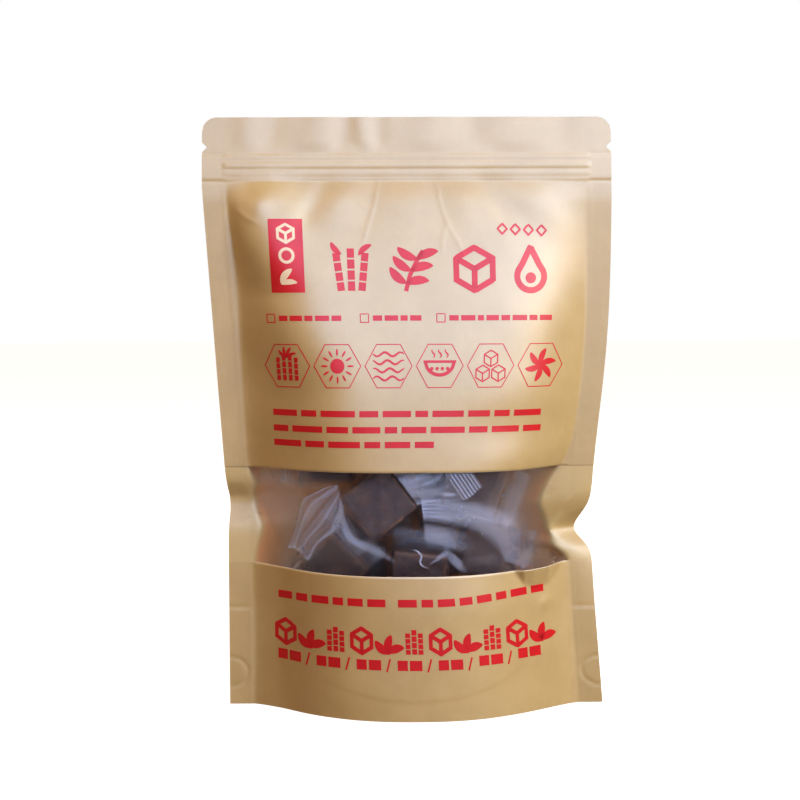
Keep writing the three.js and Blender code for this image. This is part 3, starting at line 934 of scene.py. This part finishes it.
def behind_film(points):
    """Points given as x, z and how far behind the front film they lie, as places in space."""
    x, z, gap = points[..., 0], points[..., 1], points[..., 2]
    return lifted(front_surface, panel_place(x, z), z, -1, -gap - 0.5)


def splined(control, count):
    """A smooth curve of count points through control points along the first axis."""
    control = np.asarray(control, float)
    ends = [2 * control[:1] - control[1:2], control, 2 * control[-1:] - control[-2:-1]]
    padded = np.concatenate(ends)
    t = np.linspace(0, len(control) - 1, count)
    i = np.minimum(t.astype(int), len(control) - 2)
    f = (t - i).reshape((-1,) + (1,) * (control.ndim - 1))
    a, b, c, d = (padded[i + k] for k in range(4))
    return 0.5 * (2 * b + (c - a) * f + (2 * a - 5 * b + 4 * c - d) * f**2 + (3 * b - a - 3 * c + d) * f**3)


def haze_and_painted_glint_lines(value, sharpness):
    """Narrow bright lines of haze, one in each turn of value: painted glints along the film's folds and crimp
    ridges.
    """
    return (0.5 + 0.5 * np.sin(value)) ** sharpness


def film_sheet(shell, net, along, over, ripple, veil):
    """A loose sheet of wrapper film from a net of (x, z, gap), with its ripple and its haze across it; the
    haze holds painted glint lines along the ripples.
    """
    points = splined(net, along)
    points = np.swapaxes(splined(np.swapaxes(points, 0, 1), over), 0, 1)
    p, q = grid(np.linspace(0, 1, along), np.linspace(0, 1, over))
    points[..., 2] += ripple(p, q)
    (a, b, _), (c, d, _) = np.subtract([net[1][0], net[0][1]], net[0][0])
    outer, inner = (behind_film(points + [0, 0, thick]) for thick in (0, WRAP_THICK))
    shell.plate(outer, inner, flip=a * d - b * c < 0, haze=np.clip(veil(p, q), 0, 1))


def film_fold(shell, path, radii, haze=0.3):
    """A soft rolled fold of film along (x, z, gap) points."""
    count, around = 44, 16
    centre = behind_film(splined(path, count))
    radius = np.interp(np.linspace(0, 1, count), np.linspace(0, 1, len(radii)), radii)[:, None, None]
    tangent = unit(np.gradient(centre, axis=0))
    front = np.array([0.0, -1.0, 0.0])
    out = unit(front - tangent * (tangent @ front)[:, None])
    side = np.cross(tangent, out)
    turn = np.linspace(0, 2 * math.pi, around + 1)[None, :-1, None]
    rings = centre[:, None] + radius * (np.cos(turn) * side[:, None] + np.sin(turn) * out[:, None])
    veil = haze * np.sin(np.linspace(0.12, math.pi - 0.12, count))
    shell.add(rings, ring_faces(count, around), haze=np.repeat(veil, around))


LOOSE_WING = [
    [(-29.5, 94.0, 1.6), (-30.3, 97.5, 0.8), (-31.3, 100.6, 1.6)],
    [(-29.6, 88.5, 2.4), (-34.5, 92.0, 0.8), (-40.5, 97.5, 2.0)],
    [(-33.4, 81.0, 2.6), (-40.5, 84.5, 0.8), (-47.5, 92.6, 2.2)],
    [(-40.5, 75.2, 2.2), (-46.5, 77.5, 0.8), (-50.4, 82.0, 1.8)],
    [(-44.8, 66.8, 1.4), (-49.8, 71.2, 1.0), (-54.4, 71.3, 1.2)],
]
CRIMPED_END = [
    [(3.5, 92.6, 3.0), (-2.0, 100.5, 2.2), (-8.0, 108.0, 2.6)],
    [(12.0, 94.2, 1.4), (6.0, 103.0, 0.9), (0.0, 111.0, 1.4)],
    [(24.4, 94.6, 1.0), (17.4, 104.8, 0.8), (10.4, 115.0, 1.2)],
    [(32.1, 99.8, 1.2), (25.1, 110.0, 0.9), (18.1, 120.0, 1.4)],
]
HAZY_SHEET = [
    [(5.1, 96.0, 1.0), (5.6, 91.0, 0.8), (6.3, 86.0, 1.0)],
    [(14.0, 96.4, 1.4), (14.6, 90.0, 1.0), (15.2, 84.0, 1.4)],
    [(25.0, 94.6, 2.0), (25.0, 88.2, 1.2), (24.6, 81.4, 2.0)],
    [(38.5, 92.0, 2.6), (38.4, 83.5, 1.2), (38.0, 74.0, 2.4)],
    [(49.0, 88.0, 2.6), (48.5, 75.0, 1.2), (46.5, 62.0, 2.4)],
    [(55.5, 84.0, 3.0), (55.5, 70.0, 2.0), (52.5, 55.0, 2.6)],
]
LOWER_SHEET = [
    [(6.3, 86.0, 1.6), (7.4, 75.0, 1.8)],
    [(16.0, 83.6, 2.2), (16.5, 73.5, 2.4)],
    [(30.0, 79.0, 2.8), (29.0, 69.0, 2.8)],
]


def loose_film(material):
    # Each veil below is milky haze plus narrow painted glint lines laid along the film's folds and crimp
    # ridges.
    shell = Shell()
    film_sheet(
        shell, LOOSE_WING, 90, 90,
        lambda p, q: 0.34 * np.sin(17 * q + 2 * p) * smooth(0, 0.3, p) + 0.12 * np.sin(41 * q + 5 * p),
        lambda p, q: 0.08 + 0.3 * haze_and_painted_glint_lines(17 * q + 2 * p, 3) + 0.3 * haze_and_painted_glint_lines(44 * q + 7 * p, 6)
        + 0.5 * smooth(0.05, 0, np.minimum(q, 1 - q)) + 0.3 * smooth(0.93, 1, p),
    )
    film_sheet(
        shell, CRIMPED_END, 240, 60,
        lambda p, q: 0.3 * np.sin(2 * math.pi * 19 * p) * smooth(0.62, 0.68, p)
        + 0.5 * np.sin(9 * q + 5 * p) * smooth(0.7, 0.4, p) * np.sin(np.pi * np.clip(p / 0.7, 0, 1)),
        lambda p, q: 0.12 + 0.85 * haze_and_painted_glint_lines(2 * math.pi * 19 * p, 2) * smooth(0.62, 0.68, p)
        + 0.4 * haze_and_painted_glint_lines(17 * q + 3 * np.sin(7 * q) + 5 * p, 3) * smooth(0.66, 0.5, p)
        + 0.3 * haze_and_painted_glint_lines(43 * q + 9 * np.sin(3 * p + 2 * q), 9) * smooth(0.64, 0.5, p),
    )
    film_sheet(
        shell, HAZY_SHEET, 120, 120,
        lambda p, q: 0.24 * np.sin(44 * q + 9 * p) * smooth(0.26, 0.05, p) + 0.5 * np.sin(6 * q + 7 * p) * p,
        lambda p, q: (0.1 + 0.5 * haze_and_painted_glint_lines(44 * q + 9 * p, 3) * smooth(0.2, 0.35, q) * smooth(0.85, 0.6, q))
        * smooth(0.26, 0.02, p) + 0.3 * smooth(0.02, 0, p)
        + 0.34 * smooth(0, 0.3, q) * smooth(1, 0.7, q) * smooth(1.0, 0.6, p)
        + 0.2 * haze_and_painted_glint_lines(9 * q + 7 * p, 3) * smooth(1.0, 0.5, p) * smooth(0, 0.2, q) * smooth(1, 0.8, q),
    )
    film_sheet(
        shell, LOWER_SHEET, 60, 40,
        lambda p, q: 0.3 * np.sin(7 * q + 6 * p) * p,
        lambda p, q: 0.26 * smooth(0, 0.3, q) * smooth(1, 0.7, q) * smooth(1, 0.5, p),
    )
    roll = [(-29.3, 91.5, 2.2), (-28.8, 84.0, 2.2), (-25.4, 77.4, 2.4), (-15.9, 73.2, 2.8), (-5.6, 68.0, 3.4)]
    film_fold(shell, roll, [0.3, 1.2, 1.7, 1.8, 1.6, 0.6])
    hook = [(1.2, 73.6, 1), (3.4, 73.2, 0.9), (5.2, 71, 0.9), (4.7, 68.4, 1)]
    hook += [(6, 66.6, 1.1), (8.4, 65.8, 1.2)]
    film_fold(shell, hook, [0.15, 0.42, 0.45, 0.42, 0.15], haze=0.9)
    film_fold(shell, [(8.5, 67.0, 1.8), (14.5, 71.0, 2.0), (18.5, 73.0, 2.6)], [0.2, 0.9, 1.1, 0.3])
    film_fold(shell, [(15.5, 73.0, 3.0), (20.0, 69.0, 2.6), (25.5, 63.0, 3.0)], [0.3, 1.8, 2.0, 0.6])
    return shell.build("loose_wrapper_film", material)


def wrappers(material):
    for i, block in enumerate(BLOCKS, 1):
        points = wrapper_skin(block, i * 1.7)
        shell = Shell()
        past = np.abs(points[..., 0]) - BLOCK["length"] / 2
        haze = 0.5 * smooth(0, 3, past).ravel()
        shell.add(placed(points, block), ring_faces(*points.shape[:2]), haze=haze)
        piece = shell.build(f"wrapper_{i}", material)
        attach(piece, "root")
        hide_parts(f"sugar_block_{i}")


def make_node(tree, kind, inputs=None, **settings):
    node = tree.nodes.new(kind)
    for key, value in settings.items():
        setattr(node, key, value)
    for key, value in (inputs or {}).items():
        if isinstance(value, bpy.types.NodeSocket):
            tree.links.new(value, node.inputs[key])
        else:
            node.inputs[key].default_value = value
    return node


def mixed(tree, factor, a, b):
    node = make_node(tree, "ShaderNodeMix", data_type="RGBA")
    for index, value in ((0, factor), (6, a), (7, b)):
        if isinstance(value, bpy.types.NodeSocket):
            tree.links.new(value, node.inputs[index])
        else:
            node.inputs[index].default_value = value if index == 0 else (*value, 1)
    return node.outputs[2]


class Look:
    """A material with one Principled shader, whose constants are set on its own sockets."""

    def __init__(self, name, **constants):
        self.material = bpy.data.materials.new(name)
        self.material.use_nodes = True
        self.tree = self.material.node_tree
        self.shader = self.tree.nodes["Principled BSDF"]
        for key, value in constants.items():
            self.shader.inputs[key.replace("_", " ")].default_value = value

    def attribute(self, name):
        return make_node(self.tree, "ShaderNodeAttribute", attribute_name=name).outputs["Fac"]

    def noise(self, scale, detail, stretch=(1, 1, 1), turn=(0, 0, 0)):
        coords = make_node(self.tree, "ShaderNodeTexCoord").outputs["Object"]
        inputs = {"Vector": coords, "Scale": stretch, "Rotation": turn}
        mapped = make_node(self.tree, "ShaderNodeMapping", inputs).outputs["Vector"]
        inputs = {"Vector": mapped, "Scale": scale, "Detail": detail, "Roughness": 0.6}
        return make_node(self.tree, "ShaderNodeTexNoise", inputs).outputs["Fac"]

    def math(self, operation, a, b):
        return make_node(self.tree, "ShaderNodeMath", {0: a, 1: b}, operation=operation).outputs[0]

    def ramp(self, factor, *stops):
        node = make_node(self.tree, "ShaderNodeValToRGB", {"Fac": factor})
        elements = node.color_ramp.elements
        while len(elements) < len(stops):
            elements.new(0.5)
        for element, (place, colour) in zip(elements, stops):
            element.position = place
            element.color = (*colour, 1)
        return node.outputs["Color"]

    def remap(self, value, low, high, to_low, to_high):
        inputs = {"Value": value, "From Min": low, "From Max": high, "To Min": to_low, "To Max": to_high}
        return make_node(self.tree, "ShaderNodeMapRange", inputs).outputs["Result"]

    def over(self, base, colour, field, low, high, most):
        """Lays a colour over base: none where the field is low, and most of it where it is high."""
        return mixed(self.tree, self.remap(field, low, high, 0.0, most), base, colour)

    def drive(self, socket, value):
        self.tree.links.new(value, self.shader.inputs[socket])

    def bump(self, *layers):
        """Bump layers, each a height field, its strength and its depth in metres."""
        inputs = {}
        for height, strength, distance in layers:
            inputs.update({"Height": height, "Strength": strength, "Distance": distance})
            inputs["Normal"] = make_node(self.tree, "ShaderNodeBump", inputs).outputs["Normal"]
        self.drive("Normal", inputs["Normal"])


# The paper's dark, middle and light tone. The inside's redder tones are painted warm bounce light from within
# the pouch; where film is pressed on it, the inside keeps a paler tone like the outside paper's.
OUTSIDE_TONES = (0.42, 0.285, 0.10), (0.53, 0.38, 0.15), (0.64, 0.485, 0.22)
INSIDE_TONES_PAINTED_BOUNCE = (0.56, 0.22, 0.07), (0.68, 0.29, 0.10), (0.74, 0.37, 0.16)
INSIDE_PRESSED = (0.54, 0.385, 0.155)
GRAIN_SCALE = 1500.0
FIBRE_STRETCH = (1.0, 1.0, 0.3)


def kraft_material(name, tones, coat, pressed=None):
    """Brown kraft paper under a satin laminate: mottled pulp, long fibres and a fine grain."""
    dark, mid, light = tones
    look = Look(name, Coat_Weight=coat, Coat_Roughness=0.40, Coat_IOR=1.6, Specular_IOR_Level=0.5)
    grain = look.noise(GRAIN_SCALE, 3.0)
    fibres = look.noise(520.0, 3.0, FIBRE_STRETCH, turn=(0.3, 0.6, 0.2))
    cross = look.noise(520.0, 3.0, FIBRE_STRETCH, turn=(0.1, -0.9, 0.4))
    colour = look.ramp(look.noise(60.0, 5.0), (0.0, dark), (0.5, mid), (1.0, light))
    colour = look.over(colour, mid, grain, 0.35, 0.68, 0.55)
    colour = look.over(colour, light, fibres, 0.6, 0.78, 0.22)
    colour = look.over(colour, dark, cross, 0.6, 0.78, 0.18)
    if pressed:
        colour = mixed(look.tree, look.attribute("haze"), colour, pressed)
    look.drive("Base Color", colour)
    look.drive("Roughness", look.remap(grain, 0.3, 0.7, 0.46, 0.6))
    look.bump((look.noise(190.0, 3.0), 0.06, 0.0010), (fibres, 0.07, 0.0003), (grain, 0.10, 0.0002))
    return look.material


def cut_edge_material():
    """The paper's pale cut edge, its fibres a little uneven."""
    look = Look("paper_cut_edge", Roughness=0.6)
    fibres = look.remap(look.noise(900.0, 3.0), 0.35, 0.65, 0.0, 1.0)
    look.drive("Base Color", mixed(look.tree, fibres, (0.62, 0.50, 0.34), (0.76, 0.66, 0.50)))
    return look.material


def print_material(name, colour, deep):
    """Ink on the paper: a little uneven, with the paper's grain under it."""
    look = Look(name, Coat_Weight=0.45, Coat_Roughness=0.40, Coat_IOR=1.5, Specular_IOR_Level=0.15)
    grain = look.noise(GRAIN_SCALE, 3.0)
    patch = look.remap(look.noise(120.0, 4.0), 0.35, 0.65, 0.0, 0.5)
    look.drive("Base Color", look.over(mixed(look.tree, patch, colour, deep), deep, grain, 0.55, 0.8, 0.3))
    look.drive("Roughness", look.remap(grain, 0.3, 0.7, 0.42, 0.55))
    look.bump((grain, 0.08, 0.0002))
    return look.material


def film_material():
    """Matt clear film: things that touch it show sharp, and things behind it blur."""
    look = Look(
        "window_film_matt",
        Base_Color=(0.93, 0.94, 0.97, 1),
        Transmission_Weight=1.0,
        IOR=1.45,
        Specular_IOR_Level=0.5,
        Specular_Tint=(0.16, 0.15, 0.19, 1),
    )
    ripple = look.noise(90.0, 3.0)
    look.drive("Roughness", look.remap(ripple, 0.3, 0.7, 0.21, 0.28))
    look.drive("Alpha", look.remap(look.attribute("haze"), 0, 1, 0.08, 0.42))
    look.bump((ripple, 0.25, 0.0012))
    return look.material


def wrapper_material(name, colour, clear, hazy):
    """Thin glossy film with a pale haze that its attribute thickens."""
    look = Look(name, Base_Color=(*colour, 1), IOR=1.5, Specular_IOR_Level=0.6, Roughness=0.24)
    specks = look.remap(look.noise(700.0, 3.0), 0.66, 0.76, 0.0, 0.35)
    haze = look.math("ADD", look.attribute("haze"), specks)
    look.drive("Alpha", look.remap(haze, 0, 1, clear, hazy))
    look.bump((look.noise(240.0, 3.0), 0.35, 0.0008))
    return look.material


def sugar_material():
    """Dense dark brown sugar: fine crystals, and paler dust on the worn edges."""
    look = Look("brown_sugar_block", Specular_IOR_Level=0.25)
    patch = look.noise(170.0, 5.0)
    crystals = look.noise(1900.0, 2.0)
    dark, mid, light = (0.020, 0.008, 0.006), (0.045, 0.019, 0.013), (0.085, 0.038, 0.024)
    colour = look.ramp(patch, (0.32, dark), (0.55, mid), (0.8, light))
    worn = look.math("MULTIPLY", look.attribute("haze"), look.noise(420.0, 4.0))
    colour = look.over(colour, (0.24, 0.115, 0.062), worn, 0.1, 0.5, 0.75)
    colour = look.over(colour, (0.30, 0.18, 0.12), crystals, 0.64, 0.75, 0.4)
    colour = look.over(colour, (0.30, 0.22, 0.20), look.noise(640.0, 4.0), 0.64, 0.74, 0.6)
    look.drive("Base Color", colour)
    look.drive("Roughness", look.remap(patch, 0.3, 0.7, 0.35, 0.6))
    look.bump((patch, 0.5, 0.0012), (crystals, 0.35, 0.0004))
    return look.material


# The camera stands a little above the pouch's middle and looks slightly down. Its angles are degrees.
CAMERA_TARGET = (-3.5, 0.0, 135.6)
CAMERA_DISTANCE = 700.0
CAMERA_AZIMUTH = -0.4
CAMERA_ELEVATION = 3.65
CAMERA_ROLL = -0.19
CAMERA_LENS = 71.3


def direction(azimuth, elevation):
    """The way from the pouch to a camera or light. Azimuth 0 is in front, and 90 to the right."""
    a, e = math.radians(azimuth), math.radians(elevation)
    return Vector((math.sin(a) * math.cos(e), -math.cos(a) * math.cos(e), math.sin(e)))


def add_camera():
    data = bpy.data.cameras.new("camera")
    data.lens = CAMERA_LENS
    data.sensor_width = 36.0
    data.clip_start = 0.01
    data.clip_end = 20.0
    camera = linked("camera", data)
    back = direction(CAMERA_AZIMUTH, CAMERA_ELEVATION)
    camera.location = (Vector(CAMERA_TARGET) + back * CAMERA_DISTANCE) * MM
    camera.rotation_mode = "QUATERNION"
    roll = Matrix.Rotation(math.radians(CAMERA_ROLL), 4, "Z").to_quaternion()
    camera.rotation_quaternion = (-back).to_track_quat("-Z", "Y") @ roll
    bpy.context.scene.camera = camera


LIGHTS_AIM = Vector((0, 0, 0.13))


def add_area_light(name, azimuth, elevation, distance, size, energy, colour):
    """A softbox that looks at the pouch's middle from so many metres away."""
    data = bpy.data.lights.new(name, "AREA")
    data.shape = "RECTANGLE"
    data.size, data.size_y = size
    data.energy = energy
    data.color = colour
    light = linked(name, data)
    back = direction(azimuth, elevation)
    light.location = LIGHTS_AIM + back * distance
    light.rotation_mode = "QUATERNION"
    light.rotation_quaternion = (-back).to_track_quat("-Z", "Y")
    return light


AMBIENT = (0.22, 0.142, 0.092)
FLOOR_GLOW = 0.86
FLOOR_HALF = 6.0
FLOOR_DROP = 0.0003


def add_world():
    world = bpy.data.worlds.new("studio")
    bpy.context.scene.world = world
    world.use_nodes = True
    tree = world.node_tree
    background = tree.nodes["Background"]
    path = make_node(tree, "ShaderNodeLightPath")
    colour = mixed(tree, path.outputs["Is Camera Ray"], AMBIENT, (1.0, 1.0, 1.0))
    tree.links.new(colour, background.inputs["Color"])


def add_floor():
    mesh = bpy.data.meshes.new("floor")
    turns = ((-1, -1), (1, -1), (1, 1), (-1, 1))
    corners = [(x * FLOOR_HALF, y * FLOOR_HALF, -FLOOR_DROP) for x, y in turns]
    mesh.from_pydata(corners, [], [(0, 1, 2, 3)])
    floor = linked("floor", mesh)
    look = Look(
        "floor_white",
        Base_Color=(0.86, 0.86, 0.86, 1),
        Roughness=0.6,
        Emission_Color=(1, 1, 1, 1),
        Emission_Strength=FLOOR_GLOW,
    )
    mesh.materials.append(look.material)
    floor.visible_diffuse = False
    floor.visible_glossy = False


def add_stage():
    add_floor()
    add_world()
    add_area_light("key", 48, 28, 1.5, (0.7, 0.95), 26.4, (1.0, 0.965, 0.97))
    sheen = add_area_light("sheen", 10, 30, 1.3, (1.2, 0.9), 24, (0.35, 0.60, 1.0))
    gloss = add_area_light("gloss", 40, 44, 1.3, (1.0, 0.8), 6, (0.30, 0.55, 1.0))
    for light in (sheen, gloss):
        light.visible_diffuse = False
    add_area_light("fill", -66, 38, 1.3, (0.7, 0.7), 5.0, (1.0, 0.66, 0.42))
    add_area_light("rim", 160, 40, 1.5, (0.8, 0.8), 4, (1, 1, 1))


kraft = kraft_material("kraft_laminate", OUTSIDE_TONES, 0.8)
# The inside paper's redder tones are painted warm bounce light, not a different paper.
kraft_inside_painted_bounce = kraft_material("kraft_inside_painted_bounce", INSIDE_TONES_PAINTED_BOUNCE, 0.3, pressed=INSIDE_PRESSED)
cut_edge = cut_edge_material()
matt_film = film_material()
sugar = sugar_material()

for panel in (
    front_upper_panel(kraft, kraft_inside_painted_bounce, cut_edge),
    front_lower_panel(kraft, kraft_inside_painted_bounce, cut_edge),
    back_panel(kraft, kraft_inside_painted_bounce, cut_edge),
    gusset(kraft, kraft_inside_painted_bounce),
):
    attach(panel, "root")
    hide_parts("pouch")

window = film(matt_film)
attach(window, "root")
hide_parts("window_film")

sugar_blocks(sugar)
wrapper_clear = wrapper_material("wrapper_clear", (0.36, 0.36, 0.44), 0.02, 0.4)
# Its haze carries painted glint lines along the loose film's folds and crimps.
wrapper_hazy_painted_glints = wrapper_material("wrapper_hazy_painted_glints", (0.46, 0.46, 0.58), 0.01, 0.5)
wrappers(wrapper_clear)
loose = loose_film(wrapper_hazy_painted_glints)
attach(loose, "root")

red = print_material("print_red", (0.66, 0.006, 0.012), (0.52, 0.004, 0.008))
cream = print_material("print_cream", (0.86, 0.74, 0.55), (0.76, 0.62, 0.42))
for piece, slot in ((red_print(red), "red_print"), (pale_print(cream), "pale_print")):
    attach(piece, "root")

add_camera()
add_stage()

scene = bpy.context.scene
scene.view_settings.view_transform = "Standard"
scene.cycles.use_denoising = True
scene.cycles.max_bounces = 12
scene.cycles.transmission_bounces = 8
scene.cycles.transparent_max_bounces = 16
